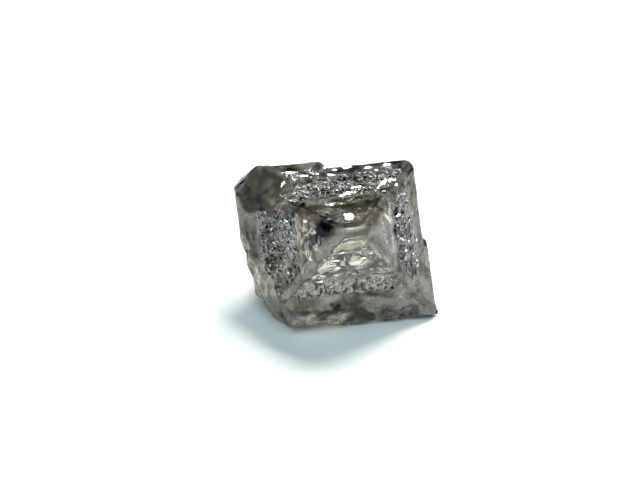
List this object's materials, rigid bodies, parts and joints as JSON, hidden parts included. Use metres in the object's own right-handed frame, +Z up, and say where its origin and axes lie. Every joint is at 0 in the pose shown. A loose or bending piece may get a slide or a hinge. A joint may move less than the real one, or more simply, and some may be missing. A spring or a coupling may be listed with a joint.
{
  "type": "rough octahedral diamond",
  "caption": "Rough natural diamond crystal, a worn octahedron with stepped faces, chips and etch pits, lying on one face.",
  "frame": {"origin": "on the surface it rests on, under the middle of its box", "axes": "+Z up; -Y towards the crystal's forward corner; +X to the right, seen from that corner"},
  "size_m": [0.0068, 0.0072, 0.0053],
  "materials": {
    "diamond": "clear greyish-brown natural diamond, satin and pebbled outside, glassy where it is smooth"
  },
  "bodies": {
    "root": {"diamond": "diamond"}
  },
  "joints": []
}
